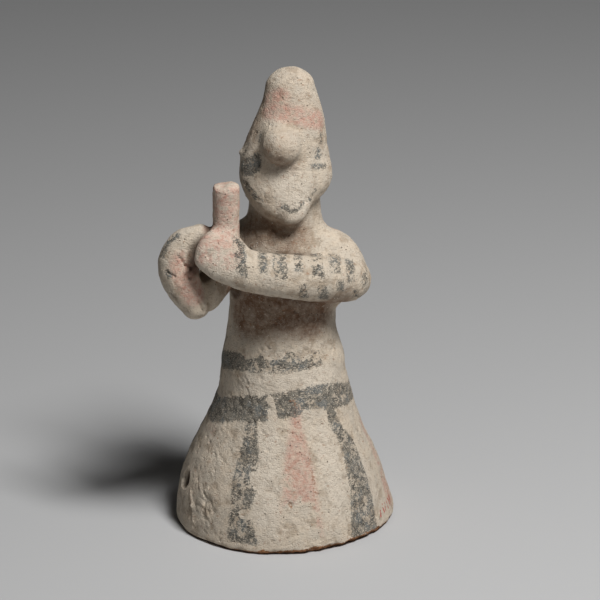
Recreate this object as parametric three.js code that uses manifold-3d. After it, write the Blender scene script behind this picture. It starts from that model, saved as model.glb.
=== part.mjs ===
// A hand-made terracotta figurine on a wheel-thrown bell: a conical-capped, bearded figure
// whose two arms meet on an upright rod held before its right shoulder.
// Units are millimetres, +Z is up, the figure faces -Y and stands on the plane Z = 0.
import * as THREE from "three";
import { mergeVertices } from "three/addons/utils/BufferGeometryUtils.js";
import Module from "manifold-3d";

const wasm = await Module();
wasm.setup();

// ---- driving dimensions ----
const HEIGHT = 150; // foot of the bell to the top of the cap
const FOOT_RADIUS = 35.4;
const WALL = 5; // the thrown wall at the foot, a fifth thicker at the top of the hollow
const HOLLOW_TOP = 88; // how far up the bell is hollow
const OVAL = 0.045; // the foot is this much longer and narrower than round...
const OVAL_TURN = -20; // ...with its long axis this many degrees from the front, to the figure's right
const OVAL_GONE = 75; // height at which the body is round again
const ROD_RADIUS = 4.25;
const ROD_AT = [-17.9, -20.5];
const ROD_FOOT = 90; // height at which the rod starts, inside the hands
const ROD_TOP = 118.2;
const HOLE_RADIUS = 2.5; // the pierced hole low on the figure's right side
const HOLE_HEIGHT = 15.5;
const HOLE_LENGTH = 20; // long enough to pass through the wall and no further
const HOLE_TURN = -69; // degrees from the front, towards the figure's right

// ---- fineness of the facets ----
const BELL_SIDES = 60;
const BELL_STEPS = 22;
const HOLLOW_STEPS = 10;
const ROLL_SIDES = 20;
const ROLL_STEPS = 10;
const HEAD_SIDES = 30;
const HEAD_STEPS = 14;
const END_STEPS = 4; // rings in the rounded end of a roll

// The thrown body from its foot to the root of the neck: height, radius, and how far the
// section's middle has slumped sideways. Heights are shares of HEIGHT, radii of FOOT_RADIUS.
const BODY = [
  { z: 0.0, r: 1.043, slump: 0.5 },
  { z: 0.06, r: 0.987, slump: -0.3 },
  { z: 0.13, r: 0.897, slump: -0.7 },
  { z: 0.2, r: 0.756, slump: -0.8 },
  { z: 0.265, r: 0.634, slump: -0.8 },
  { z: 0.32, r: 0.575, slump: -0.2 },
  { z: 0.37, r: 0.543, slump: 0.2 },
  { z: 0.42, r: 0.488, slump: -1.0 },
  { z: 0.48, r: 0.485, slump: -0.9 },
  { z: 0.53, r: 0.485, slump: -0.6 },
  { z: 0.58, r: 0.475, slump: -0.3 },
  { z: 0.625, r: 0.42, slump: -0.2 },
  { z: 0.66, r: 0.35, slump: 0.0 },
  { z: 0.69, r: 0.325, slump: 0.1 },
  { z: 0.72, r: 0.32, slump: 0.2 },
  { z: 0.76, r: 0.3, slump: 0.2 },
  { z: 0.8, r: 0.24, slump: 0.2 },
];
const NECK_TOP = BODY.at(-1).z * HEIGHT; // buried in the head

// A number at each station, drawn through all of them as one smooth curve.
function smoothly(values) {
  const curve = new THREE.CatmullRomCurve3(values.map((v) => new THREE.Vector3(v, 0, 0)));
  return (t) => curve.getPoint(THREE.MathUtils.clamp(t, 0, 1)).x;
}

// A closed mesh as a manifold-3d solid.
function solid(geometry) {
  const bare = geometry.clone();
  bare.deleteAttribute("normal");
  bare.deleteAttribute("uv");
  const merged = mergeVertices(bare, 1e-3);
  return new wasm.Manifold(
    new wasm.Mesh({
      numProp: 3,
      vertProperties: merged.attributes.position.array,
      triVerts: new Uint32Array(merged.index.array),
    }),
  );
}

// The solid as a three.js geometry, moved so that its bounding box is centred over the origin.
function toGeometry(manifold) {
  const { vertProperties, triVerts } = manifold.getMesh();
  const geometry = new THREE.BufferGeometry();
  geometry.setAttribute("position", new THREE.BufferAttribute(vertProperties, 3));
  geometry.setIndex(new THREE.BufferAttribute(triVerts, 1));
  geometry.computeBoundingBox();
  const centre = geometry.boundingBox.getCenter(new THREE.Vector3());
  geometry.translate(-centre.x, -centre.y, 0);
  geometry.computeVertexNormals();
  return geometry;
}

// Moves every vertex of a geometry in place.
function reshape(geometry, move) {
  const position = geometry.attributes.position;
  const v = new THREE.Vector3();
  for (let i = 0; i < position.count; i++) {
    move(v.fromBufferAttribute(position, i));
    position.setXYZ(i, v.x, v.y, v.z);
  }
  return geometry;
}

// A roll of clay with rounded ends. Each station has its middle (at), its half width (wide)
// and its half thickness (thick), and the thickness is measured along the facing direction.
function roll(stations, facing, sides = ROLL_SIDES, steps = ROLL_STEPS) {
  const middle = new THREE.CatmullRomCurve3(stations.map((s) => new THREE.Vector3(...s.at)));
  const wide = smoothly(stations.map((s) => s.wide));
  const thick = smoothly(stations.map((s) => s.thick));
  const template = new THREE.CapsuleGeometry(1, 1, END_STEPS, sides, steps);
  return reshape(template, (v) => {
    const t = THREE.MathUtils.clamp(v.y + 0.5, 0, 1);
    const beyond = v.y + 0.5 - t;
    const along = middle.getTangent(t);
    const across = new THREE.Vector3().crossVectors(along, facing).normalize();
    const through = new THREE.Vector3().crossVectors(across, along);
    const end = Math.min(wide(t), thick(t));
    const [x, z] = [v.x, v.z];
    v.copy(middle.getPoint(t));
    v.addScaledVector(along, beyond * end);
    v.addScaledVector(across, x * wide(t));
    v.addScaledVector(through, z * thick(t));
  });
}

const FRONT = new THREE.Vector3(0, -1, 0);
const FRONT_AND_UP = new THREE.Vector3(0, -0.92, 0.4).normalize();

// The outer line of the thrown body, as radius and height.
function bodyLine() {
  const height = smoothly(BODY.map((s) => s.z * HEIGHT));
  const radius = smoothly(BODY.map((s) => s.r * FOOT_RADIUS));
  const line = [];
  for (let i = 0; i <= BELL_STEPS; i++) {
    const t = i / BELL_STEPS;
    line.push(new THREE.Vector2(radius(t), height(t)));
  }
  return line;
}
const OUTER = bodyLine();

// The outer radius at a height.
function outerRadius(z) {
  const above = OUTER.findIndex((p) => p.y > z);
  const [low, high] = [OUTER[above - 1], OUTER[above]];
  return THREE.MathUtils.mapLinear(z, low.y, high.y, low.x, high.x);
}

// A closed line of radius and height turned round the axis, then slumped and made oval.
function thrown(line) {
  const slump = smoothly(BODY.map((s) => s.slump));
  return reshape(new THREE.LatheGeometry(line, BELL_SIDES), (v) => {
    const [x, y, z] = [v.x, -v.z, v.y];
    const turned = 2 * (Math.atan2(x, -y) - THREE.MathUtils.degToRad(OVAL_TURN));
    const fade = THREE.MathUtils.clamp(1 - z / OVAL_GONE, 0, 1);
    const oval = 1 + OVAL * fade * Math.cos(turned);
    const sideways = slump(THREE.MathUtils.clamp(z / NECK_TOP, 0, 1));
    v.set(x * oval + sideways, y * oval, z);
  });
}

// The bell, waist, chest and neck, still solid.
function body() {
  return thrown([new THREE.Vector2(0, 0), ...OUTER, new THREE.Vector2(0, NECK_TOP + 1)]);
}

// The hollow inside the bell and chest, open at the foot.
function hollow() {
  const line = [new THREE.Vector2(0, -1), new THREE.Vector2(OUTER[0].x - WALL, -1)];
  for (let i = 0; i <= HOLLOW_STEPS; i++) {
    const up = i / HOLLOW_STEPS;
    const z = up * (HOLLOW_TOP - WALL);
    line.push(new THREE.Vector2(outerRadius(z) - WALL * (1 + 0.2 * up), z));
  }
  return thrown([...line, new THREE.Vector2(0, HOLLOW_TOP)]);
}

// Head and cap: one tall cone that widens to the cheeks and draws in to a jutting beard.
function head() {
  return roll(
    [
      { at: [1.9, 0.5, 143.2], wide: 7.9, thick: 6.6 },
      { at: [2.2, 0, 136], wide: 10.1, thick: 9.2 },
      { at: [1.5, -1, 128], wide: 12.6, thick: 11.2 },
      { at: [0.6, -2.2, 120.5], wide: 14.5, thick: 11 },
      { at: [1, -5.6, 114.6], wide: 14.5, thick: 9.6 },
      { at: [1.5, -9.4, 110.6], wide: 12.4, thick: 7.8 },
      { at: [2.2, -12.2, 108.2], wide: 9, thick: 5.8 },
      { at: [2.9, -14, 106.7], wide: 6.3, thick: 4 },
      { at: [3.2, -15, 105.7], wide: 4.3, thick: 2.6 },
    ],
    FRONT,
    HEAD_SIDES,
    HEAD_STEPS,
  );
}

// The nose, a thumb-sized lump that runs up into the forehead.
function nose() {
  return roll(
    [
      { at: [0.6, -2, 137], wide: 5, thick: 3 },
      { at: [0, -6.6, 132], wide: 6.2, thick: 4.4 },
      { at: [-0.6, -12, 127.6], wide: 6.4, thick: 5.8 },
    ],
    FRONT,
  );
}

// The shoulders, a broad roll laid across the top of the thrown body.
function shoulders() {
  return roll(
    [
      { at: [-14, 0.5, 91], wide: 6.5, thick: 7.5 },
      { at: [-7, 1.5, 93.5], wide: 8, thick: 8.5 },
      { at: [6, 1.5, 92], wide: 8, thick: 9 },
      { at: [16, -1.5, 88.5], wide: 7, thick: 8 },
    ],
    FRONT,
  );
}

// The figure's left arm: a short upper arm folded sharply at the elbow...
function leftUpperArm() {
  return roll(
    [
      { at: [8, -0.5, 91.5], wide: 6.6, thick: 8 },
      { at: [16.5, -1.8, 89.2], wide: 7, thick: 8 },
      { at: [20.9, -5, 81.6], wide: 7, thick: 7.4 },
    ],
    FRONT,
  );
}

// ...the clay smeared under it to hold it to the body...
function leftGusset() {
  const geometry = new THREE.SphereGeometry(1, ROLL_SIDES, ROLL_STEPS);
  geometry.scale(6, 7, 6.5);
  geometry.translate(14.2, -2.5, 77.5);
  return geometry;
}

// ...and a forearm across the chest, flattened into a paddle of a hand.
function leftForearm() {
  return roll(
    [
      { at: [20, -8, 82.2], wide: 7.4, thick: 7.2 },
      { at: [9, -18.5, 86.1], wide: 7.3, thick: 7 },
      { at: [-2, -23.5, 89], wide: 7, thick: 6.4 },
      { at: [-12.5, -26, 91.8], wide: 6.8, thick: 5.4 },
      { at: [-18.3, -26.4, 95.8], wide: 8, thick: 4.4 },
      { at: [-23.4, -26.4, 99], wide: 6.8, thick: 3.6 },
    ],
    FRONT_AND_UP,
  );
}

// The figure's right arm: the upper arm comes forward and down to the elbow...
function rightUpperArm() {
  return roll(
    [
      { at: [-9, 0.5, 92], wide: 6, thick: 7.5 },
      { at: [-17.5, -4, 86.5], wide: 6.2, thick: 7 },
      { at: [-25, -16, 79.8], wide: 5.6, thick: 5.6 },
    ],
    FRONT,
  );
}

// ...and the forearm folds back up and bends over to the rod.
function rightForearm() {
  return roll(
    [
      { at: [-27.6, -20.5, 78.3], wide: 4.8, thick: 5.5 },
      { at: [-31.6, -20.5, 85], wide: 6, thick: 5.8 },
      { at: [-32.8, -19.5, 91.6], wide: 6.8, thick: 5.8 },
      { at: [-29.5, -18.8, 97], wide: 6.8, thick: 4.8 },
      { at: [-25.4, -18.8, 99.2], wide: 5.6, thick: 4.2 },
    ],
    FRONT,
  );
}

// The upright rod that the two hands hold.
function rod() {
  const length = ROD_TOP - ROD_FOOT;
  const geometry = new THREE.CylinderGeometry(ROD_RADIUS, ROD_RADIUS, length, ROLL_SIDES);
  geometry.rotateX(Math.PI / 2);
  geometry.translate(...ROD_AT, ROD_FOOT + length / 2);
  return geometry;
}

// The hole pierced through the bell's wall, low on the figure's right.
function hole() {
  const geometry = new THREE.CylinderGeometry(HOLE_RADIUS, HOLE_RADIUS, HOLE_LENGTH, ROLL_SIDES);
  geometry.translate(0, -FOOT_RADIUS, HOLE_HEIGHT);
  geometry.rotateZ(THREE.MathUtils.degToRad(HOLE_TURN));
  return geometry;
}

let figure = solid(body());
const added = [
  head(),
  nose(),
  shoulders(),
  leftUpperArm(),
  leftGusset(),
  leftForearm(),
  rightUpperArm(),
  rightForearm(),
  rod(),
];
for (const piece of added) figure = figure.add(solid(piece));
for (const gone of [hollow(), hole()]) figure = figure.subtract(solid(gone));

const terracotta = new THREE.MeshStandardMaterial({ color: 0xb9ab95, roughness: 0.9, metalness: 0 });
const figurine = new THREE.Mesh(toGeometry(figure), terracotta);
figurine.name = "figurine";

const part = new THREE.Group();
part.add(figurine);
export default part;
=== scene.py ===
"""A painted terracotta bell figurine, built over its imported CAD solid.

The solid is rounded and filleted into hand-worked clay, given its relief, and painted by a node
material that reads how far each point lies inside each painted mark. Lengths here are in
millimetres, and the mesh is scaled to metres when it is made.
"""

import math

import bpy
import numpy as np
import openvdb
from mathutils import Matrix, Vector

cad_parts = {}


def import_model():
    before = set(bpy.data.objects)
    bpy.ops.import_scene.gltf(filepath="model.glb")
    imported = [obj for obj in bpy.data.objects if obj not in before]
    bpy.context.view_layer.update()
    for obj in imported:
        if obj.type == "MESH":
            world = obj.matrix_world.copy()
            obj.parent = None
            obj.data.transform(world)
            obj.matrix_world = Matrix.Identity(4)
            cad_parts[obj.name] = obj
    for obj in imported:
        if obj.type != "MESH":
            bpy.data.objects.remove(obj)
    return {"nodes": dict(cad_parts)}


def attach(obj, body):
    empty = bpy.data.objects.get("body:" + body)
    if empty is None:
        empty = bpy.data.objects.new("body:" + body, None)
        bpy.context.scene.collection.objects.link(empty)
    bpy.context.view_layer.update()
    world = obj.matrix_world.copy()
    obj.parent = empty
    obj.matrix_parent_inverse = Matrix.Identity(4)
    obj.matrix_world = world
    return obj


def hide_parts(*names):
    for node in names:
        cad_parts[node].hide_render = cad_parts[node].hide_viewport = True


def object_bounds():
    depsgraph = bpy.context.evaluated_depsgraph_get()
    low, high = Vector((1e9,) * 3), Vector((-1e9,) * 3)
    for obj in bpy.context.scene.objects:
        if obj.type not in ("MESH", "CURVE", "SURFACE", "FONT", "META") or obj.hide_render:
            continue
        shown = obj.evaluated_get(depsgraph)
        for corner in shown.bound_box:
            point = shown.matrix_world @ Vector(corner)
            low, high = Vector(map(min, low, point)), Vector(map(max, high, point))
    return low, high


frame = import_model()
cad_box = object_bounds()

MM = 0.001
AXIS_X = 1.94  # the bell's axis lies this far from the middle of the figurine's box
HEIGHT = 149.8
OVAL = 0.045  # the foot is this much longer one way than round...
OVAL_TURN = -20.0  # ...towards this turn from the front...
OVAL_GONE = 75.0  # ...and the body is round again at this height
HOLLOW_TOP = 90.0  # nothing above this height is inside the hollow
BELL_TOP = 88.0  # above this height is shoulder, not thrown body
BELL_REACH = 6.0  # the thrown surface lies within this of the middle of its wall

# ---- camera ----
CAMERA_ELEVATION = 19.3
CAMERA_DISTANCE = 1200.0
CAMERA_AIM = (6.82, -0.74, 72.89)
CAMERA_LENS = 225.0

# ---- how the clay is rounded ----
VOXEL = 0.45
CREASE = 1.1  # fillet radius where two rolls of clay meet
BLEND = 3.2  # fillet radius where one was smeared into the other
EDGE = 0.6  # rounding of outer edges
SMEARED = [  # centre and radius of each place where the joint was smeared over
    ((0.0, -8.5, 136.0), 12.0),
    ((14.0, -2.0, 95.0), 13.0),
    ((-12.0, -1.0, 96.0), 10.0),
    ((14.0, -6.0, 77.0), 11.0),
    ((0.0, 9.0, 107.0), 14.0),
    ((-15.5, -23.5, 101.0), 5.0),
    ((2.5, -14.5, 107.0), 9.0),
]
TRIANGLES = 195_000

rng = np.random.default_rng(7)  # draws where each scratch lies


def smoothstep(low, high, x):
    t = np.clip((x - low) / (high - low), 0.0, 1.0)
    return t * t * (3.0 - 2.0 * t)


def lattice(cells, seed):
    """Three repeatable values between -1 and 1 for each integer cell."""
    c = cells.astype(np.int64)
    h = (c[..., 0] * 73856093) ^ (c[..., 1] * 19349663) ^ (c[..., 2] * 83492791) ^ (seed * 2654435761)
    out = []
    for shift in (0, 11, 22):
        k = (h >> shift) & 0xFFFFFFFF
        k = ((k ^ (k >> 15)) * 2246822519) & 0xFFFFFFFF
        k = ((k ^ (k >> 13)) * 3266489917) & 0xFFFFFFFF
        out.append(((k ^ (k >> 16)) & 0xFFFF) / 32767.5 - 1.0)
    return np.stack(out, axis=-1)


def noise(points, size, seed):
    """Smooth noise of about -1 to 1 whose lumps are size across."""
    p = points / size
    base = np.floor(p)
    f = p - base
    u = f * f * f * (f * (f * 6.0 - 15.0) + 10.0)
    total = np.zeros(len(p))
    for corner in np.ndindex(2, 2, 2):
        corner = np.array(corner)
        weight = np.prod(np.where(corner, u, 1.0 - u), axis=1)
        total += weight * np.einsum("ij,ij->i", lattice(base + corner, seed), f - corner)
    return total * 1.3


def layered(points, size, seed, layers=3):
    total = sum(noise(points, size / 2**k, seed + k) / 2**k for k in range(layers))
    return total / 1.5


def specks(points, size, seed):
    """Distance from each point to the nearest of some scattered spots, and that spot's size 0..1."""
    p = points / size
    base = np.floor(p)
    best = np.full(len(p), 9.0)
    chosen = np.zeros(len(p))
    for corner in np.ndindex(3, 3, 3):
        cell = base + np.array(corner) - 1
        jitter = lattice(cell, seed)
        spot = cell + 0.5 + 0.45 * jitter
        d = np.linalg.norm(p - spot, axis=1)
        nearer = d < best
        best = np.where(nearer, d, best)
        chosen = np.where(nearer, 0.5 + 0.5 * lattice(cell, seed + 91)[:, 0], chosen)
    return best * size, chosen


# ---------------------------------------------------------------- the clay's shape
def level_set(points, faces, reach):
    key = "quads" if faces.shape[1] == 4 else "triangles"
    return openvdb.FloatGrid.createLevelSetFromPolygons(
        points.astype(np.float32),
        transform=openvdb.createLinearTransform(voxelSize=VOXEL),
        halfWidth=reach / VOXEL + 3.0,
        **{key: faces.astype(np.uint32)},
    )


def moved_out(points, faces, distance):
    """The surface a distance outside (or, if negative, inside) the one given."""
    out, _, quads = level_set(points, faces, abs(distance)).convertToPolygons(isovalue=distance)
    return out, quads


def rounded(points, faces, crease, edge):
    """The level set of a solid whose creases are filled and whose edges are worn."""
    points, faces = moved_out(points, faces, crease)
    points, faces = moved_out(points, faces, -crease - edge)
    points, faces = moved_out(points, faces, edge)
    return level_set(points, faces, 1.0)


def as_array(grid, low, shape):
    values = np.empty(shape, dtype=np.float32)
    grid.copyToArray(values, ijk=low)
    return values * 1.0


def blurred(values, times):
    for _ in range(times):
        for axis in range(3):
            before = np.roll(values, 1, axis)
            after = np.roll(values, -1, axis)
            values = 0.5 * values + 0.25 * (before + after)
    return values


def sampled(values, low, points):
    """Trilinear samples of a grid of values at points."""
    p = points / VOXEL - np.array(low)
    base = np.clip(np.floor(p).astype(int), 0, np.array(values.shape) - 2)
    f = p - base
    total = np.zeros(len(p))
    for i, j, k in np.ndindex(2, 2, 2):
        weight = (
            np.where(i, f[:, 0], 1 - f[:, 0])
            * np.where(j, f[:, 1], 1 - f[:, 1])
            * np.where(k, f[:, 2], 1 - f[:, 2])
        )
        total += weight * values[base[:, 0] + i, base[:, 1] + j, base[:, 2] + k]
    return total


def cad_solid():
    mesh = frame["nodes"]["figurine"].data
    points = np.empty(len(mesh.vertices) * 3, dtype=np.float32)
    mesh.vertices.foreach_get("co", points)
    mesh.calc_loop_triangles()
    faces = np.empty(len(mesh.loop_triangles) * 3, dtype=np.int32)
    mesh.loop_triangles.foreach_get("vertices", faces)
    return points.reshape(-1, 3) / MM, faces.reshape(-1, 3)


def clay_surface():
    """Points and quads of the rounded clay, and how deep in a crevice each point is."""
    points, faces = cad_solid()
    crisp = rounded(points, faces, CREASE, EDGE)
    smooth = rounded(points, faces, BLEND, EDGE)
    boxes = np.array([grid.evalActiveVoxelBoundingBox() for grid in (crisp, smooth)])
    low, high = boxes[:, 0].min(axis=0), boxes[:, 1].max(axis=0)
    shape = tuple(high - low + 1)
    crisp = as_array(crisp, tuple(low), shape)
    smooth = as_array(smooth, tuple(low), shape)
    at = np.stack(np.meshgrid(*[np.arange(n) for n in shape], indexing="ij"), axis=-1)
    at = (at + low) * np.float32(VOXEL)
    share = np.zeros(shape, dtype=np.float32)
    for centre, radius in SMEARED:
        centre = np.array(centre) + (AXIS_X, 0, 0)
        away = np.linalg.norm(at - centre, axis=-1)
        share = np.maximum(share, 1.0 - smoothstep(0.5 * radius, radius, away))
    mixed = blurred(crisp * (1 - share) + smooth * share, 2)
    grid = openvdb.FloatGrid()
    grid.transform = openvdb.createLinearTransform(voxelSize=VOXEL)
    grid.copyFromArray(mixed.astype(np.float32), ijk=tuple(low))
    points, _, quads = grid.convertToPolygons(isovalue=0.0)
    crevice = np.clip(-sampled(smooth, low, points), 0.0, 2.0)
    return points.astype(float), quads, crevice


def normals_of(points, quads):
    a, b, c, d = (points[quads[:, k]] for k in range(4))
    face = np.cross(c - a, d - b)
    total = np.zeros_like(points)
    for k in range(4):
        for axis in range(3):
            total[:, axis] += np.bincount(quads[:, k], face[:, axis], len(points))
    return total / np.maximum(np.linalg.norm(total, axis=1, keepdims=True), 1e-9)


class Place:
    """Where points lie on the figurine: height, angle from the front and distance from its axis."""

    def __init__(self, points, normals):
        self.at = points - (AXIS_X, 0, 0)
        self.x, self.y, self.z = self.at.T
        self.turn = np.degrees(np.arctan2(self.x, -self.y))
        self.radius = np.hypot(self.x, self.y)
        outwards = (self.x * normals[:, 0] + self.y * normals[:, 1]) / np.maximum(self.radius, 1e-6)
        wall = self.radius - self.inner_radius()
        self.hollow = (outwards < 0.15) & (self.z < HOLLOW_TOP) & (wall < 0.0)
        self.on_bell = ~self.hollow & (self.z < BELL_TOP) & (wall < BELL_REACH)

    def inner_radius(self):
        """Halfway through the thrown wall, which is a little oval towards its foot."""
        heights = [0, 9, 19.5, 30, 40, 48, 55.5, 63, 72, 80, 87, 90]
        radii = [34.3, 32.3, 29.0, 24.0, 19.6, 17.5, 16.4, 14.4, 14.3, 14.2, 13.6, 13.0]
        oval = OVAL * np.clip(1.0 - self.z / OVAL_GONE, 0.0, 1.0)
        oval *= np.cos(np.radians(2.0 * (self.turn - OVAL_TURN)))
        return np.interp(self.z, heights, radii) * (1.0 + oval)


def segment_distance(points, start, end):
    start, end = np.array(start, dtype=float), np.array(end, dtype=float)
    along = end - start
    t = np.clip((points - start) @ along / max(along @ along, 1e-9), 0.0, 1.0)
    return np.linalg.norm(points - start - t[:, None] * along, axis=1), t


# ---------------------------------------------------------------- relief
HOLE = (-70.0, 15.3)  # turn from the front and height of the pierced hole
HOLE_INSIDE = 2.9  # a point this near the hole's middle is in the hole
HOLE_LIP = 3.3  # radius of the clay pushed up round it
CRACKS = [  # each a run of points with its half width and depth; a negative depth is a ridge
    ([(-30.1, -17.3, 13.3), (-29.4, -20.2, 9.7), (-29.0, -21.8, 5.0)], 0.5, -0.45),
    ([(-30.9, -16.3, 13.3), (-30.2, -19.2, 9.7), (-29.8, -20.8, 5.0)], 0.5, 0.45),
    ([(-32.7, -24.4, 95.1), (-30.8, -24.8, 92.6), (-28.7, -23.8, 91.6)], 0.4, 0.7),
    ([(-28.7, -23.8, 91.6), (-30.8, -25.4, 89.6), (-32.1, -26.0, 87.7)], 0.4, 0.6),
    ([(-36.8, -24.5, 90.5), (-34.3, -25.7, 89.3)], 0.4, 0.6),
    ([(-35.9, -24.3, 83.5), (-33.7, -25.3, 81.5)], 0.4, 0.5),
    ([(-27.5, -23.0, 93.5), (-28.0, -24.0, 90.5), (-27.0, -25.0, 87.5)], 0.3, 0.5),
    ([(-26.5, -25.3, 80.9), (-25.0, -24.6, 77.3)], 0.45, 0.9),
    ([(-20.0, -24.8, 101.2), (-22.0, -23.4, 102.2)], 0.5, 0.6),
    ([(-24.0, -30.6, 98.2), (-23.4, -31.0, 97.4)], 0.5, 0.8),
    ([(-6.6, -13.6, 113.0), (-6.4, -14.6, 110.6)], 0.3, 0.3),
    ([(2.0, -13.6, 120.4), (9.5, -11.6, 119.4)], 0.3, 0.25),
]
LUMPS = [  # centre, reach and height of stray bits of clay, dents and swellings
    ((17.5, -2.0, 56.0), 6.5, 1.3),
    ((-14.2, -3.2, 123.2), 1.1, 1.0),
    ((-14.8, -24.5, 100.6), 1.1, 0.9),
    ((-22.4, -22.6, 103.6), 0.9, 0.7),
    ((-28.6, -30.0, 98.6), 1.3, -0.5),
    ((-3.0, -15.5, 117.0), 6.0, -0.5),
    ((2.0, -33.5, 15.6), 0.7, -0.9),
    ((-24.5, -25.0, 13.8), 1.6, -0.8),
    ((-22.6, -27.5, 11.0), 1.2, -0.6),
    ((-29.0, -23.0, 96.5), 4.0, -0.8),
    ((-34.0, -24.0, 92.0), 4.0, -0.6),
    ((-30.0, -17.5, 103.0), 3.0, -0.7),
]
SCRATCH_FIELDS = [  # middle and spread (turn, height), how many, length, lean in degrees, depth
    ((-46.0, 11.0), (7.0, 4.0), 16, 4.0, -38.0, 0.2),
    ((-44.0, 16.0), (16.0, 12.0), 80, 2.4, -36.0, 0.11),
    ((-46.0, 34.0), (16.0, 8.0), 40, 2.2, -40.0, 0.09),
    ((-20.0, 46.0), (38.0, 12.0), 110, 3.0, -45.0, 0.15),
    ((-5.0, 64.0), (50.0, 7.0), 50, 4.0, -48.0, 0.12),
    ((30.0, 22.0), (40.0, 18.0), 110, 3.0, -50.0, 0.14),
    ((180.0, 40.0), (110.0, 30.0), 200, 4.0, -50.0, 0.14),
]


def scratches(place):
    """Short grooves drawn over the bell while its surface was leather-hard."""
    depth = np.zeros(len(place.z))
    outer = ~place.hollow & (place.z < 84.0)
    for (turn, height), (turn_spread, height_spread), count, length, lean, deepest in SCRATCH_FIELDS:
        for _ in range(count):
            middle_turn = turn + turn_spread * rng.normal() * 0.6
            middle_height = height + height_spread * rng.normal() * 0.6
            angle = math.radians(lean + 12.0 * rng.normal())
            long = length * rng.uniform(0.4, 1.3)
            wide = rng.uniform(0.28, 0.48)
            deep = deepest * rng.uniform(0.4, 1.4)
            near = outer & (np.abs(place.z - middle_height) < long)
            side = (place.turn[near] - middle_turn + 180.0) % 360.0 - 180.0
            u = np.radians(side) * place.radius[near]
            v = place.z[near] - middle_height
            along = u * math.cos(angle) + v * math.sin(angle)
            across = -u * math.sin(angle) + v * math.cos(angle) + 0.02 * along**2
            fade = 1.0 - smoothstep(0.25 * long, 0.5 * long, np.abs(along))
            groove = np.exp(-((across / wide) ** 2)) * fade
            burr = 0.5 * np.exp(-(((across - 2 * wide) / wide) ** 2)) * fade
            depth[near] += deep * (burr - groove)
    return depth


def flaked(points):
    """Where the slip has flaked away: 0 where it is whole, 1 where it is gone."""
    return smoothstep(0.12, 0.3, layered(points, 4.2, 101, 4))


def hand_marks(points, place):
    """The unevenness of hand work, with the rings of throwing on the bell and in its hollow."""
    rings = np.stack([place.z, place.turn * 0.02, place.z * 0], axis=1)
    height = 0.42 * noise(points, 17.0, 1)
    height += np.where(place.on_bell, 0.16, 0.05) * noise(rings, 4.6, 21)
    height += np.where(place.hollow, 0.45, 0.0) * noise(rings, 6.5, 22)
    return height


def grain(points):
    """The lumpy outer surface, with flaked slip, pits and grit."""
    height = 0.25 * layered(points, 6.5, 4) + 0.11 * layered(points, 2.0, 8)
    height -= 0.11 * flaked(points)
    pit, size = specks(points, 3.2, 31)
    size = np.where(size > 0.5, 0.3 + 0.6 * (size - 0.5), 0.0)
    height -= 0.5 * np.exp(-((pit / np.maximum(size, 0.05)) ** 2)) * (size > 0)
    grit, size = specks(points, 2.4, 47)
    size = np.where(size > 0.66, 0.35, 0.0)
    height += 0.22 * np.exp(-((grit / np.maximum(size, 0.05)) ** 2)) * (size > 0)
    return height


def relief(points, place):
    """How far the clay's surface stands out from its rounded form."""
    outside = ~place.hollow
    height = hand_marks(points, place) + np.where(outside, grain(points), 0.0)
    for run, wide, deep in CRACKS:
        for start, end in zip(run, run[1:]):
            away, _ = segment_distance(place.at, start, end)
            height -= deep * np.exp(-((away / wide) ** 2))
    for centre, reach, lift in LUMPS:
        away = np.linalg.norm(place.at - centre, axis=1)
        height += lift * np.exp(-((away / reach) ** 2))

    side = np.radians(place.turn - HOLE[0]) * place.radius
    from_hole = np.hypot(side, place.z - HOLE[1])
    by_foot = place.radius > 20.0
    lip = np.exp(-(((from_hole - HOLE_LIP) / 0.8) ** 2))
    height += np.where(outside, 0.35, 0.15) * lip * by_foot
    height = np.where((from_hole < HOLE_INSIDE) & by_foot, -0.35, height)
    return height + scratches(place)


def worn_foot(points, place):
    """Wear that eats into the outer edge of the foot, most of all at the front right."""
    strongest = np.exp(-(((place.turn - 28.0) / 48.0) ** 2))
    bite = np.clip(0.45 + 0.9 * layered(points, 4.0, 61), 0.0, 1.4)
    size = 0.6 + 0.7 * bite + 1.8 * strongest * bite
    low = 1.0 - smoothstep(0.0, 1.0, place.z / size)
    outer = smoothstep(-2.0, 0.0, place.radius - place.inner_radius())
    return 0.7 * size * low * outer


def chipped_rod(points, place):
    """The rod's top, knocked off at one side."""
    top = smoothstep(116.4, 117.8, place.z) * (np.hypot(place.x + 18.2, place.y + 20.5) < 6.0)
    return top * (0.35 + 0.9 * np.clip(noise(points, 3.2, 71), -0.3, 1.0))


def shaped(points, quads):
    normals = normals_of(points, quads)
    place = Place(points, normals)
    out = points + normals * relief(points, place)[:, None]
    worn = worn_foot(points, place)
    out[:, 0] -= worn * place.x / np.maximum(place.radius, 1e-6)
    out[:, 1] -= worn * place.y / np.maximum(place.radius, 1e-6)
    out[:, 2] -= chipped_rod(points, place)
    low, high = (np.array(corner) / MM for corner in cad_box)
    return np.clip(out, low, high)


def made_mesh(name, points, quads):
    mesh = bpy.data.meshes.new(name)
    mesh.vertices.add(len(points))
    mesh.vertices.foreach_set("co", (points * MM).ravel())
    mesh.loops.add(quads.size)
    mesh.loops.foreach_set("vertex_index", quads.ravel().astype(np.int32))
    mesh.polygons.add(len(quads))
    mesh.polygons.foreach_set("loop_start", np.arange(0, quads.size, 4, dtype=np.int32))
    mesh.update(calc_edges=True)
    mesh.validate()
    return mesh


def thinned(mesh, triangles):
    """The mesh with its flattest parts coarsened, to a number of triangles."""
    holder = bpy.data.objects.new("holder", mesh)
    bpy.context.collection.objects.link(holder)
    modifier = holder.modifiers.new("thin", "DECIMATE")
    modifier.ratio = min(1.0, triangles / (2.0 * len(mesh.polygons)))
    graph = bpy.context.evaluated_depsgraph_get()
    thin = bpy.data.meshes.new_from_object(holder.evaluated_get(graph))
    bpy.data.objects.remove(holder)
    return thin


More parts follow.
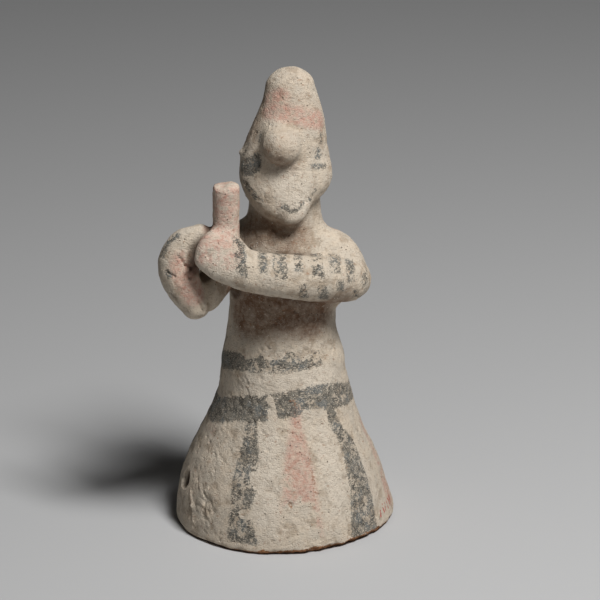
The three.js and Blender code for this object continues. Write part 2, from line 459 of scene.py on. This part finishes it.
def read_points(mesh):
    points = np.empty(len(mesh.vertices) * 3)
    mesh.vertices.foreach_get("co", points)
    normals = np.empty(len(mesh.vertices) * 3)
    mesh.vertices.foreach_get("normal", normals)
    return points.reshape(-1, 3) / MM, normals.reshape(-1, 3)


# ---------------------------------------------------------------- painted marks
FAR = 6.0  # paint distances are kept to this many millimetres either side of an edge


def band(place, stations):
    """Distance inside a band round the bell, from (turn, bottom, top) stations."""
    turns = [s[0] for s in stations]
    turn = np.where(place.turn < turns[0], place.turn + 360.0, place.turn)
    bottom = np.interp(turn, turns, [s[1] for s in stations])
    top = np.interp(turn, turns, [s[2] for s in stations])
    return np.minimum(place.z - bottom, top - place.z)


def stripe(place, stations):
    """Distance inside an upright stripe on the bell, from (height, left turn, right turn)."""
    stations = sorted(stations)
    heights = [s[0] for s in stations]
    left = np.interp(place.z, heights, [s[1] for s in stations])
    right = np.interp(place.z, heights, [s[2] for s in stations])
    middle = (left + right) / 2
    half = np.radians((right - left) / 2) * place.radius
    side = np.radians((place.turn - middle + 180.0) % 360.0 - 180.0) * place.radius
    ends = np.minimum(place.z - heights[0], heights[-1] - place.z)
    return np.minimum(half - np.abs(side), ends)


def dab(place, run, wide):
    """Distance inside a brush mark along a run of points."""
    away = np.full(len(place.z), 99.0)
    for start, end in zip(run, run[1:]):
        away = np.minimum(away, segment_distance(place.at, start, end)[0])
    return wide - away


BELT = [
    (-180, 51.5, 57.5), (-120, 51.0, 57.0), (-84, 50.5, 56.5), (-66, 52.2, 58.2), (-45, 53.9, 59.8),
    (-22, 54.3, 60.9), (16, 54.9, 61.6), (41, 55.3, 60.6), (80, 54.5, 60.5), (180, 51.5, 57.5),
]
HEM_BAND = [
    (-180, 36.5, 44.5), (-120, 35.0, 43.0), (-66, 34.4, 42.6), (-51, 36.7, 45.0), (-38, 38.4, 46.2),
    (-20, 39.2, 47.7), (-8, 40.4, 48.8), (10, 40.8, 49.4), (16, 42.9, 49.6), (32, 42.7, 49.9),
    (44, 41.0, 49.4), (58, 40.4, 48.8), (77, 39.6, 45.8), (120, 38.0, 46.0), (180, 36.5, 44.5),
]
DARK_STRIPES = [
    [(41, -33, -22), (34, -31, -19), (29, -31, -16.5), (20, -31, -15.5), (14, -30, -18), (3, -29, -12.5)],
    [(43, 34, 46), (35, 39, 52), (30, 44, 61), (20, 42.5, 61.5), (11, 40, 61), (1.0, 36, 58)],
    [(38, 120, 131), (20, 118, 134), (3, 117, 135)],
    [(38, -165, -155), (20, -167, -152), (3, -169, -151)],
    [(36, -100, -91), (20, -103, -90), (4, -104, -90)],
]
RED_STRIPES = [
    [(44, 6, 12.5), (38, 4, 13.5), (33, 2, 16), (26, -0.8, 18.5), (15, -1.8, 19), (5, -2, 20)],
    [(34, -69, -59), (23, -69, -53), (12, -68, -54)],
    [(32, 88, 94), (20, 84, 93), (9, 80, 96), (3, 79, 97)],
    [(38, 157, 167), (20, 154, 170), (4, 153, 171)],
    [(36, -134, -125), (20, -136, -122), (4, -137, -121)],
]
FOREARM = [(20, -8, 82.2), (9, -18.5, 86.1), (-2, -23.5, 89), (-12.5, -26, 91.8), (-18, -26.6, 95)]
FOREARM_REACH = 8.6  # paint this far from the forearm's middle line is on the forearm
SLEEVE_MARKS = [  # where each crosses the forearm (x), its half width, and its top and bottom
    (-13.4, 2.2, 8.0, -0.8), (-6.2, 1.6, 7.5, 1.0), (-0.8, 2.4, 8.0, 0.0), (5.0, 1.6, 8.0, 3.0),
    (5.6, 1.5, 0.5, -5.0), (10.9, 2.2, 8.0, 2.0), (11.8, 1.6, 0.0, -5.5), (16.3, 2.1, 8.0, 3.0),
    (17.6, 1.2, 1.5, -2.0), (21.2, 1.5, 7.0, 0.5), (22.2, 1.2, -1.5, -4.5), (25.6, 1.2, 4.0, -1.0),
]
DARK_DABS = [
    ([(-12.3, -8.3, 119.6), (-9.6, -10.2, 121.2)], 3.0),
    ([(-9.2, -9.6, 123.8), (-8.4, -10.3, 124.0)], 1.2),
    ([(-7.3, -8.7, 130.2), (-8.2, -8.9, 128.8)], 0.9),
    ([(-11.8, -6.2, 128.5), (-12.8, -6.4, 123.5)], 1.1),
    ([(11.0, -8.6, 125.4), (10.4, -9.6, 123.6), (11.6, -8.8, 123.6)], 1.1),
    ([(11.7, -6.2, 130.0), (11.5, -7.4, 127.4)], 0.8),
    ([(8.6, -11.4, 121.2), (10.8, -10.2, 120.4), (12.8, -8.4, 120.4)], 1.0),
    ([(-12.5, -9.0, 115.1), (-10.3, -11.4, 112.6), (-7.8, -13.4, 109.9)], 1.3),
    ([(-0.9, -16.4, 109.3), (1.6, -16.8, 108.4), (3.8, -16.4, 107.9)], 0.95),
    ([(5.0, -16.2, 109.6), (5.9, -15.8, 110.4)], 0.9),
    ([(8.2, -14.2, 110.8), (10.1, -12.9, 113.7)], 0.6),
    ([(-33.3, -21.2, 101.3), (-36.2, -20.8, 99.0)], 1.3),
    ([(-37.0, -21.2, 97.5), (-37.6, -21.4, 94.5)], 1.2),
    ([(-36.6, -24.4, 90.4), (-36.2, -24.9, 89.2)], 1.0),
    ([(-32.8, -24.2, 96.2), (-31.8, -24.6, 95.0)], 1.0),
    ([(7.0, -33.2, 13.6), (9.8, -32.4, 13.0)], 0.55),
    ([(3.5, -36.0, 7.4), (7.6, -35.4, 7.0)], 0.55),
    ([(21.0, -29.0, 1.6), (25.0, -26.0, 2.4)], 0.7),
]
RED_DABS = [
    ([(-4.5, -5.0, 141.0), (-1.0, -6.4, 142.4)], 2.4),
    ([(-4.6, -6.6, 137.6), (1.7, -10.5, 138.2), (6.4, -8.5, 136.0), (11.0, -5.0, 134.0)], 3.0),
    ([(-24.0, -28.5, 99.0), (-18.0, -29.5, 98.0)], 5.2),
    ([(-18.2, -20.5, 104.0), (-18.2, -20.5, 119.0)], 7.0),
    ([(-31.5, -24.5, 93.0), (-28.5, -25.5, 84.0)], 4.6),
    ([(14.0, 1.5, 99.5), (16.5, 1.0, 97.5)], 1.6),
]


def dark_paint(place):
    bell = np.maximum(band(place, BELT), band(place, HEM_BAND))
    for stations in DARK_STRIPES:
        bell = np.maximum(bell, stripe(place, stations))
    inside = np.where(place.on_bell, bell, -FAR)
    middle, around = np.zeros(len(place.z)), np.full(len(place.z), 99.0)
    for start, end in zip(FOREARM, FOREARM[1:]):
        away, t = segment_distance(place.at, start, end)
        middle = np.where(away < around, start[2] + t * (end[2] - start[2]), middle)
        around = np.minimum(around, away)
    above = place.z - middle
    on_arm = (around < FOREARM_REACH) & (place.y < -6.0)
    for x, wide, top, bottom in SLEEVE_MARKS:
        mark = wide - np.abs(place.x - x + 0.1 * above)
        mark = np.minimum(mark, np.minimum(top - above, above - bottom))
        inside = np.maximum(inside, np.where(on_arm, mark, -FAR))
    for run, wide in DARK_DABS:
        inside = np.maximum(inside, dab(place, run, wide))
    return np.clip(inside, -FAR, FAR)


def red_paint(place):
    bell = np.full(len(place.z), -FAR)
    for stations in RED_STRIPES:
        bell = np.maximum(bell, stripe(place, stations))
    inside = np.where(place.on_bell, bell, -FAR)
    for run, wide in RED_DABS:
        inside = np.maximum(inside, dab(place, run, wide))
    return np.clip(inside, -FAR, FAR)


LOSSES = [  # places where more, or less, of the paint has gone: run, reach, change in wear
    ([(-4.6, -21.5, 46.5), (-3.8, -22.5, 41.0)], 1.8, 0.4),
    ([(-12.4, -14.5, 60.6), (-10.0, -16.0, 60.8)], 2.6, 0.5),
    ([(-5.0, -17.8, 61.0), (-1.5, -18.3, 61.4)], 2.6, 0.45),
    ([(4.6, -17.5, 61.2), (6.5, -16.8, 61.0)], 1.8, 0.4),
    ([(14.0, -10.5, 57.5), (18.8, -4.0, 58.5)], 4.4, 0.5),
    ([(-8.0, -16.0, 58.0), (12.0, -14.5, 59.0)], 3.6, 0.035),
    ([(-8.2, -16.5, 58.8), (-7.0, -17.0, 57.0)], 2.0, -0.16),
    ([(-1.0, -17.5, 56.4), (7.0, -16.5, 56.8)], 1.8, -0.12),
    ([(-1.0, -22.5, 44.6), (16.0, -16.5, 45.6)], 5.0, -0.02),
    ([(16.5, -22.0, 33.0), (18.5, -26.0, 23.0)], 4.5, 0.12),
    ([(-26.0, -28.0, 98.0), (-18.0, -31.0, 94.0)], 6.0, 0.06),
    ([(-10.0, -30.0, 24.5), (-9.0, -31.0, 21.5)], 1.8, 0.4),
    ([(-13.5, -33.5, 12.5), (-9.5, -35.0, 12.5)], 1.8, 0.5),
    ([(4.0, -34.5, 11.0), (6.0, -36.0, 4.0)], 8.0, 0.3),
    ([(22.0, -12.0, 88.0), (4.0, -26.0, 93.0), (-14.0, -32.0, 95.0)], 9.0, 0.02),
    ([(-2.0, -17.0, 109.5), (8.0, -15.0, 110.5)], 6.0, -0.12),
    ([(-12.0, -8.0, 120.0), (-8.0, -11.0, 121.0)], 4.0, -0.06),
    ([(-19.0, -6.0, 55.0), (-15.0, -12.0, 56.5)], 5.0, -0.16),
    ([(-21.0, -12.0, 40.0), (-9.0, -22.0, 43.5)], 6.5, -0.1),
    ([(9.0, -21.0, 40.6), (13.0, -19.0, 40.2)], 2.4, 0.4),
    ([(-27.0, -12.0, 28.0), (-27.0, -16.0, 14.0)], 9.0, 0.2),
    ([(14.0, -30.0, 26.0), (16.0, -31.0, 8.0)], 5.0, -0.05),
]


def wear(points, place):
    """How much of the paint has gone, from 0 to 1."""
    gone = 0.425 + 0.14 * layered(points, 9.0, 81)
    for run, reach, change in LOSSES:
        for start, end in zip(run, run[1:]):
            away, _ = segment_distance(place.at, start, end)
            gone += change * (1.0 - smoothstep(0.35 * reach, reach, away))
    unseen = smoothstep(95.0, 140.0, np.abs(place.turn)) * (place.z < 90)
    return np.clip(gone + 0.16 * unseen, 0.0, 1.0)


FRESH_AND_PAINTED_LIGHT = [  # runs, reaches and shares of places painted whiter: thick slip, and painted light on the skirt's left, the hand and the rod
    ([(13.0, -24.0, 36.0), (17.5, -30.5, 12.0)], 8.0, 0.6),
    ([(-6.5, -26.5, 36.0), (-6.0, -34.0, 14.0)], 7.5, 0.95),
    ([(-9.0, -18.0, 51.0), (14.0, -13.5, 51.0)], 7.0, 1.0),
    ([(0.0, -15.0, 118.0), (3.0, -17.0, 110.0)], 9.0, 0.7),
    ([(26.0, -14.0, 30.0), (30.0, -16.0, 12.0)], 6.0, 0.8),
    ([(-24.0, -31.0, 98.0), (-18.0, -32.0, 96.0)], 9.0, 1.0),
    ([(-18.2, -24.5, 104.0), (-18.2, -24.5, 118.0)], 7.0, 1.0),
]
GRIME_AND_PAINTED_SHADE = [  # runs, reaches and shares of browned places: slip worn thin and brown with handling, and painted shade under the forearm, chin and nose and on the cap's left
    ([(-13.0, -12.0, 80.0), (13.0, -12.0, 80.0)], 12.0, 1.0),
    ([(-13.0, -13.0, 72.0), (10.0, -13.0, 72.0)], 11.0, 0.9),
    ([(-11.0, -8.0, 99.0), (2.0, -12.0, 99.0)], 10.0, 0.75),
    ([(-5.0, -14.5, 126.0), (-1.5, -17.0, 123.5)], 4.5, 0.6),
    ([(-9.0, -3.0, 143.0), (-11.5, -5.0, 130.0)], 7.0, 0.45),
    ([(-3.0, -15.0, 122.5), (3.0, -15.0, 121.5)], 4.0, 0.6),
    ([(0.0, -13.0, 131.0), (-1.0, -18.5, 127.5)], 6.5, 0.24),
    ([(-1.0, -7.0, 141.0), (7.0, -7.0, 137.0)], 9.0, 0.2),
    ([(2.0, -4.0, 148.0), (6.0, -3.0, 147.0)], 6.0, 0.12),
]
INK = [  # short red strokes low on the skirt, as pairs of turn and height
    [(65.6, 6.2), (64.4, 3.8)], [(69.5, 6.8), (69.5, 4.0)], [(73.0, 6.6), (71.8, 4.4)],
    [(77.0, 6.6), (76.6, 4.0)], [(80.5, 6.4), (81.5, 4.4)], [(85.0, 6.2), (84.6, 4.2)],
]
INK_HALF = 0.42
INK_RADIUS = 36.5  # of the skirt where the strokes are


def ink(place):
    """Distance inside the red strokes on the skirt."""
    inside = np.full(len(place.z), -FAR)
    spread = np.stack([np.radians(place.turn) * INK_RADIUS, place.z, place.z * 0], axis=1)
    for stroke in INK:
        run = [(math.radians(turn) * INK_RADIUS, height, 0.0) for turn, height in stroke]
        for start, end in zip(run, run[1:]):
            away, _ = segment_distance(spread, start, end)
            inside = np.maximum(inside, INK_HALF - away)
    return np.where(place.hollow | (place.z > 20), -FAR, inside)


def patches(place, spots):
    """The share given for each run in a list, falling to 0 at its reach."""
    near = np.zeros(len(place.z))
    for run, reach, most in spots:
        for start, end in zip(run, run[1:]):
            away, _ = segment_distance(place.at, start, end)
            near = np.maximum(near, most * (1.0 - smoothstep(0.3 * reach, reach, away)))
    return near


def fresh_slip(points, place):
    # whiter slip, partly thick slip and partly painted light
    return np.clip(patches(place, FRESH_AND_PAINTED_LIGHT) + 0.5 * layered(points, 12.0, 111), 0.0, 1.0)


def grime(points, place):
    """Brown, thinly slipped clay, and painted shade where the forearm, chin and nose shade the clay."""
    # painted shade: these patches brown the clay where it lies in shadow
    return np.clip(patches(place, GRIME_AND_PAINTED_SHADE) * (1.0 + 0.5 * layered(points, 5.0, 121)), 0.0, 1.0)


RUSTY = [  # runs and half widths of rust-brown lines and spots
    ([(7.9, -25.4, 31.0), (9.4, -29.6, 20.0), (9.6, -31.0, 16.0)], 0.35),
    ([(1.8, -33.4, 15.9), (2.2, -33.7, 15.0)], 0.6),
    ([(2.4, -20.9, 46.0), (3.4, -21.2, 44.5)], 0.6),
    ([(-5.0, -36.0, 6.0), (-6.0, -36.6, 4.0)], 0.6),
]


def rust_lines(place):
    inside = np.full(len(place.z), -FAR)
    for run, wide in RUSTY:
        inside = np.maximum(inside, dab(place, run, wide))
    return inside


def bare_clay(points, place):
    """How far a point lies inside a patch where the slip is gone, in millimetres."""
    ragged = 1.3 * layered(points, 2.6, 91)
    worn_side = np.exp(-(((place.turn - 30.0) / 52.0) ** 2))
    foot = 0.45 + 1.5 * worn_side - place.z + ragged * (0.4 + worn_side)
    chip = dab(place, [(1.9, -33.4, 15.8), (2.1, -33.7, 15.2)], 0.6)
    return np.clip(np.maximum(foot, chip), -FAR, FAR)


# ---------------------------------------------------------------- nodes
class Nodes:
    """Builds a material's node tree with short calls."""

    def __init__(self, name):
        self.material = bpy.data.materials.new(name)
        self.material.use_nodes = True
        self.tree = self.material.node_tree
        self.shader = self.tree.nodes["Principled BSDF"]

    def add(self, kind, inputs=None, **settings):
        node = self.tree.nodes.new("ShaderNode" + kind)
        for key, value in settings.items():
            setattr(node, key, value)
        for key, value in (inputs or {}).items():
            self.put(node.inputs[key], value)
        return node

    def put(self, socket, value):
        if isinstance(value, bpy.types.NodeSocket):
            self.tree.links.new(value, socket)
        else:
            socket.default_value = value

    def math(self, operation, *values):
        node = self.add("Math", operation=operation)
        for socket, value in zip(node.inputs, values):
            self.put(socket, value)
        return node.outputs[0]

    def attribute(self, name):
        return self.add("Attribute", attribute_name=name).outputs["Fac"]

    def noise(self, vector, scale, detail, rough):
        inputs = {"Vector": vector, "Scale": scale, "Detail": detail, "Roughness": rough}
        inputs["Distortion"] = 0.0
        return self.add("TexNoise", inputs).outputs["Fac"]

    def ramp(self, value, low, high, to_low=0.0, to_high=1.0):
        inputs = {"Value": value, "From Min": low, "From Max": high, "To Min": to_low, "To Max": to_high}
        return self.add("MapRange", inputs, interpolation_type="SMOOTHSTEP").outputs["Result"]

    def about(self, value, middle, times):
        """A value's distance from its middle, multiplied."""
        return self.math("MULTIPLY", self.math("SUBTRACT", value, middle), times)

    def stretched(self, vector, turn, scale):
        """Coordinates turned about the Y axis by degrees, then scaled."""
        inputs = {"Vector": vector, "Rotation": (0.0, math.radians(turn), 0.0), "Scale": scale}
        return self.add("Mapping", inputs).outputs["Vector"]

    def shifted(self, vector, by):
        return self.add("VectorMath", {0: vector, 1: (by, -by, by)}, operation="ADD").outputs[0]

    def voronoi(self, vector, scale, few, size):
        """Scattered dots: those whose cell draws a value above few, of a radius in cells."""
        node = self.add("TexVoronoi", {"Vector": vector, "Scale": scale})
        chosen = self.ramp(node.outputs["Color"], few, few + 0.02)
        return self.math("MULTIPLY", chosen, self.ramp(node.outputs["Distance"], size, 0.6 * size))

    def mix(self, share, first, second):
        node = self.add("Mix", data_type="RGBA")
        self.put(node.inputs[0], share)
        self.put(node.inputs[6], first)
        self.put(node.inputs[7], second)
        return node.outputs[2]


def colour(red, green, blue):
    """A linear colour from screen values between 0 and 255."""
    screen = [v / 255.0 for v in (red, green, blue)]
    return (*(v / 12.92 if v <= 0.04045 else ((v + 0.055) / 1.055) ** 2.4 for v in screen), 1.0)


SLIP_LIGHT = colour(216, 204, 187)
SLIP_WARM = colour(211, 196, 176)
SLIP_GREY = colour(203, 191, 174)
STAIN = colour(140, 118, 94)
BROWN = colour(104, 70, 45)
RUST = colour(146, 100, 70)
CREASE_SHADE_AND_DIRT = colour(78, 58, 42)
DARK_PAINT = colour(74, 72, 67)
DARK_THIN = colour(124, 119, 109)
DARK_BLUE = colour(116, 124, 126)
RED_PAINT = colour(188, 134, 118)
RED_THIN = colour(203, 166, 149)
INK_RED = colour(180, 84, 74)
CLAY = colour(172, 124, 88)
CLAY_DARK = colour(112, 76, 50)
GRIT_WHITE = colour(238, 231, 217)


class Fields:
    """The mesh's painted and worn fields, and the noises that every layer of the clay shares."""

    def __init__(self, n):
        where = n.add("TexCoord").outputs["Object"]
        at = n.add("VectorMath", {0: where, 1: (1 / MM,) * 3}, operation="MULTIPLY").outputs[0]
        self.dark, self.red = n.attribute("dark_paint"), n.attribute("red_paint")
        self.gone, self.raw = n.attribute("wear"), n.attribute("bare_clay")
        self.crevice, self.hollow = n.attribute("crevice"), n.attribute("hollow")
        self.fresh, self.flake = n.attribute("fresh"), n.attribute("flaked")
        self.ink, self.grime, self.rust_mark = n.attribute("ink"), n.attribute("grime"), n.attribute("rust")

        self.patchy = n.noise(at, 0.2, 5.0, 0.6)
        self.flaky = n.noise(at, 0.55, 6.0, 0.68)
        self.grainy = n.noise(at, 1.25, 4.0, 0.65)
        self.fine = n.noise(at, 2.6, 3.0, 0.6)
        self.rust = n.noise(n.shifted(at, 90.0), 0.8, 3.0, 0.6)
        self.streaks = n.noise(n.stretched(at, -50.0, (2.6, 1.4, 0.4)), 1.0, 4.0, 0.6)
        self.nicks = n.noise(n.stretched(at, 35.0, (0.7, 1.6, 2.4)), 1.0, 2.0, 0.5)
        self.pits = n.voronoi(at, 0.5, 0.56, 0.13)
        self.grits = n.voronoi(n.shifted(at, 40.0), 0.55, 0.56, 0.14)


def slip_colour(n, f):
    """The slip: cream, whiter where it lies thick and where painted light brightens it, stained where it is
    worn thin, and browned where it is thin and where painted shade darkens it.
    """
    slip = n.mix(n.ramp(f.patchy, 0.38, 0.62), SLIP_WARM, SLIP_GREY)
    # painted light: the whiter patches also brighten the skirt's left, the hand and the rod
    slip = n.mix(n.ramp(f.fresh, 0.0, 0.8, 0.0, 0.8), slip, SLIP_LIGHT)
    slip = n.mix(n.math("MULTIPLY", f.flake, n.ramp(f.fresh, 0.0, 0.9, 0.4, 0.15)), slip, STAIN)
    slip = n.mix(n.ramp(f.flaky, 0.52, 0.74, 0.0, 0.4), slip, STAIN)
    slip = n.mix(n.ramp(f.grainy, 0.54, 0.7, 0.0, 0.4), slip, STAIN)
    slip = n.mix(n.ramp(f.streaks, 0.56, 0.8, 0.0, 0.3), slip, STAIN)
    # painted shade: the browned patches also darken the chest, neck and nose where they lie in shadow
    slip = n.mix(n.math("MULTIPLY", f.grime, n.ramp(f.flaky, 0.35, 0.6, 0.65, 0.92)), slip, BROWN)
    slip = n.mix(n.ramp(f.rust, 0.61, 0.7, 0.0, 0.5), slip, RUST)
    slip = n.mix(n.ramp(f.grainy, 0.42, 0.3, 0.0, 0.5), slip, SLIP_LIGHT)
    return n.mix(n.ramp(f.fine, 0.36, 0.26, 0.0, 0.6), slip, GRIT_WHITE)


def paint_left(n, f):
    """Above 0 where wear has spared the paint, and how ragged its edges are, in millimetres."""
    loss = n.math("ADD", n.math("MULTIPLY", f.flaky, 0.6), n.math("MULTIPLY", f.grainy, 0.4))
    left = n.math("SUBTRACT", n.math("SUBTRACT", 0.92, n.math("MULTIPLY", f.gone, 0.9)), loss)
    ragged = n.math("ADD", n.about(f.flaky, 0.5, 5.0), n.about(f.grainy, 0.5, 2.6))
    return left, ragged


def red_layer(n, f, under):
    left, ragged = paint_left(n, f)
    edge = n.ramp(n.math("ADD", f.red, ragged), -1.2, 1.0)
    share = n.math("MULTIPLY", edge, n.ramp(n.math("ADD", left, 0.03), -0.06, 0.1))
    share = n.math("MULTIPLY", share, n.ramp(f.grainy, 0.38, 0.6, 0.4, 0.75))
    return n.mix(share, under, n.mix(n.ramp(f.flaky, 0.38, 0.62), RED_PAINT, RED_THIN))


def dark_layer(n, f, under):
    """The colour with dark paint over it, and how much dark paint there is."""
    left, ragged = paint_left(n, f)
    edge = n.ramp(n.math("ADD", f.dark, ragged), -0.1, 0.35)
    share = n.math("MULTIPLY", edge, n.ramp(left, -0.02, 0.015))
    nicked_off = n.math("SUBTRACT", f.nicks, n.about(f.gone, 0.42, 0.5))
    share = n.math("MULTIPLY", share, n.ramp(nicked_off, 0.35, 0.43, 0.1, 1.0))
    share = n.math("MULTIPLY", share, n.ramp(f.fine, 0.38, 0.46, 0.3, 0.97))
    paint = n.mix(n.ramp(f.flaky, 0.36, 0.56), DARK_PAINT, DARK_THIN)
    paint = n.mix(n.ramp(f.patchy, 0.5, 0.62, 0.0, 0.45), paint, DARK_BLUE)
    return n.mix(share, under, paint), share


def marked(n, f, under):
    """Ink strokes and rust lines."""
    inked = n.math("ADD", f.ink, n.about(f.fine, 0.5, 0.5))
    under = n.mix(n.ramp(inked, -0.05, 0.12, 0.0, 0.85), under, INK_RED)
    rusted = n.math("ADD", f.rust_mark, n.about(f.grainy, 0.5, 4.0))
    return n.mix(n.ramp(rusted, -0.1, 0.4, 0.0, 0.55), under, RUST)


def bared_with_crease_shade(n, f, under):
    """Bare clay at the foot, in chips and in the hollow, pale grit, dark pits, and painted shade in the
    creases.
    """
    clay = n.mix(n.ramp(f.grainy, 0.4, 0.6), CLAY, CLAY_DARK)
    bare = n.ramp(n.math("ADD", f.raw, n.about(f.fine, 0.5, 1.2)), -0.15, 0.25)
    inner = n.math("MULTIPLY", f.hollow, n.ramp(f.patchy, 0.3, 0.6, 0.75, 0.95))
    under = n.mix(n.math("MAXIMUM", bare, inner), under, clay)
    under = n.mix(n.math("MULTIPLY", f.grits, 0.7), under, GRIT_WHITE)
    # painted shade: the deeper a crease lies, the darker it is painted, with the dark pits added
    crease_shade_and_pits = n.math("ADD", n.ramp(f.crevice, 0.15, 1.1, 0.0, 0.7), n.math("MULTIPLY", f.pits, 0.75))
    return n.mix(n.math("MINIMUM", crease_shade_and_pits, 0.85), under, CREASE_SHADE_AND_DIRT)


def surface_grain(n, f, dark_share):
    """The height of the finest grain, for the bump."""
    grain = n.math("ADD", n.math("MULTIPLY", f.fine, 0.65), n.math("MULTIPLY", f.grainy, 0.65))
    grain = n.math("ADD", grain, n.math("MULTIPLY", f.streaks, 0.3))
    grain = n.math("ADD", grain, n.math("MULTIPLY", n.ramp(f.nicks, 0.3, 0.45), 0.3))
    grain = n.math("ADD", grain, n.math("MULTIPLY", dark_share, 0.15))
    return n.math("ADD", grain, n.math("MULTIPLY", n.math("SUBTRACT", f.grits, f.pits), 0.8))


def clay_material():
    n = Nodes("painted_terracotta")
    f = Fields(n)
    painted = red_layer(n, f, slip_colour(n, f))
    painted, dark_share = dark_layer(n, f, painted)
    n.put(n.shader.inputs["Base Color"], bared_with_crease_shade(n, f, marked(n, f, painted)))
    rough = n.ramp(f.fine, 0.3, 0.7, 0.82, 0.96)
    n.put(n.shader.inputs["Roughness"], n.math("SUBTRACT", rough, n.math("MULTIPLY", dark_share, 0.12)))
    n.put(n.shader.inputs["Specular IOR Level"], 0.25)
    height = surface_grain(n, f, dark_share)
    bump = n.add("Bump", {"Height": height, "Strength": 0.9, "Distance": 0.5 * MM})
    n.put(n.shader.inputs["Normal"], bump.outputs["Normal"])
    return n.material


# ---------------------------------------------------------------- the piece
def set_attribute(mesh, name, values):
    attribute = mesh.attributes.new(name, "FLOAT", "POINT")
    attribute.data.foreach_set("value", np.asarray(values, dtype=np.float32))


def figurine():
    points, quads, crevice = clay_surface()
    mesh = made_mesh("figurine_clay", shaped(points, quads), quads)
    set_attribute(mesh, "crevice", crevice)
    mesh = thinned(mesh, TRIANGLES)
    mesh.name = "figurine_clay"
    points, normals = read_points(mesh)
    place = Place(points, normals)
    fields = {
        "dark_paint": dark_paint(place),
        "red_paint": red_paint(place),
        "wear": wear(points, place),
        "bare_clay": bare_clay(points, place),
        "hollow": place.hollow,
        "fresh": fresh_slip(points, place),
        "flaked": flaked(points),
        "grime": grime(points, place),
        "rust": rust_lines(place),
        "ink": ink(place),
    }
    for name, values in fields.items():
        set_attribute(mesh, name, values)
    mesh.polygons.foreach_set("use_smooth", np.ones(len(mesh.polygons), dtype=bool))
    mesh.materials.clear()
    mesh.materials.append(clay_material())
    piece = bpy.data.objects.new("figurine_clay", mesh)
    bpy.context.collection.objects.link(piece)
    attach(piece, "root")
    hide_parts("figurine")


# ---------------------------------------------------------------- studio
FLOOR_WIDTH = 6.0  # in metres
FLOOR_GREY = colour(187, 187, 187)


def floor():
    mesh = bpy.data.meshes.new("floor")
    half = FLOOR_WIDTH / 2
    corners = [(-half, -half, 0), (half, -half, 0), (half, half, 0), (-half, half, 0)]
    mesh.from_pydata(corners, [], [(0, 1, 2, 3)])
    piece = bpy.data.objects.new("floor", mesh)
    bpy.context.collection.objects.link(piece)
    material = bpy.data.materials.new("floor")
    material.use_nodes = True
    shader = material.node_tree.nodes["Principled BSDF"]
    shader.inputs["Base Color"].default_value = FLOOR_GREY
    shader.inputs["Roughness"].default_value = 0.9
    mesh.materials.append(material)


def aimed(thing, at):
    """Turns a light or camera to look at a point."""
    towards = Vector(at) * MM - thing.location
    thing.rotation_euler = towards.to_track_quat("-Z", "Y").to_euler()


def lamp(name, turn, elevation, distance, size, power):
    """A square soft light, turned from the front towards the figure's left. Sizes are in metres."""
    light = bpy.data.lights.new(name, "AREA")
    light.size = size
    light.energy = power
    thing = bpy.data.objects.new(name, light)
    turn, elevation = math.radians(turn), math.radians(elevation)
    flat = distance * math.cos(elevation)
    thing.location = (flat * math.sin(turn), -flat * math.cos(turn), distance * math.sin(elevation))
    bpy.context.collection.objects.link(thing)
    aimed(thing, (0, 0, 0.5 * HEIGHT))


def camera():
    data = bpy.data.cameras.new("camera")
    data.sensor_width = 36.0
    data.lens = CAMERA_LENS
    data.clip_end = 20.0
    thing = bpy.data.objects.new("camera", data)
    elevation = math.radians(CAMERA_ELEVATION)
    aim = Vector(CAMERA_AIM)
    back = Vector((0.0, -math.cos(elevation), math.sin(elevation)))
    thing.location = (aim + CAMERA_DISTANCE * back) * MM
    bpy.context.collection.objects.link(thing)
    aimed(thing, CAMERA_AIM)
    bpy.context.scene.camera = thing


def world():
    made = bpy.data.worlds.new("studio")
    made.use_nodes = True
    background = made.node_tree.nodes["Background"]
    background.inputs["Color"].default_value = (1.0, 1.0, 1.0, 1.0)
    background.inputs["Strength"].default_value = 0.02
    bpy.context.scene.world = made


figurine()
floor()
camera()
world()
lamp("key", turn=40.0, elevation=60.0, distance=1.0, size=0.26, power=10.2)
lamp("fill", turn=-50.0, elevation=25.0, distance=1.4, size=1.2, power=0.3)
bpy.context.scene.view_settings.view_transform = "Standard"
